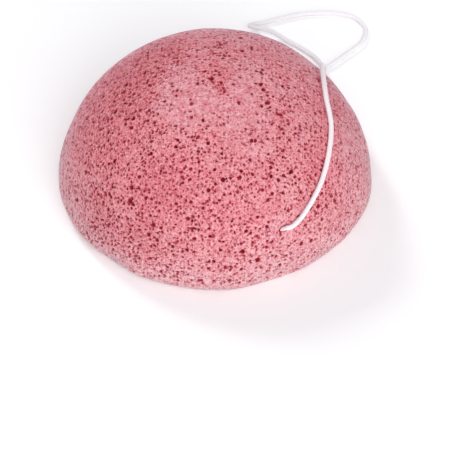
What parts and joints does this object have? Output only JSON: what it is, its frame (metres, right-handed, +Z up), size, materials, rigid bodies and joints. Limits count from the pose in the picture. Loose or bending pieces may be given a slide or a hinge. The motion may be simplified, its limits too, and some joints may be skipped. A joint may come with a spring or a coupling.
{
  "type": "konjac sponge",
  "caption": "Half-ball face sponge of moulded konjac foam with a flat face, threaded with a knotted cotton hanging string that loops over and behind it.",
  "frame": {"origin": "centre of the sponge's flat face, on the surface that it stands on", "axes": "+Z up through the crown of the half-ball; +Y away from the string's front mouth, towards the free loop behind the sponge; +X towards the side that the string runs over"},
  "size_m": [0.0804, 0.1037, 0.0385],
  "materials": {
    "konjac_foam": "soft matte moulded foam with open pores, salmon pink with dark red pores",
    "cotton_string": "matte twisted cotton, white"
  },
  "bodies": {
    "root": {"foam_body": "konjac_foam", "string_inside": "cotton_string", "string_loop": "cotton_string", "knot": "cotton_string"}
  },
  "joints": []
}
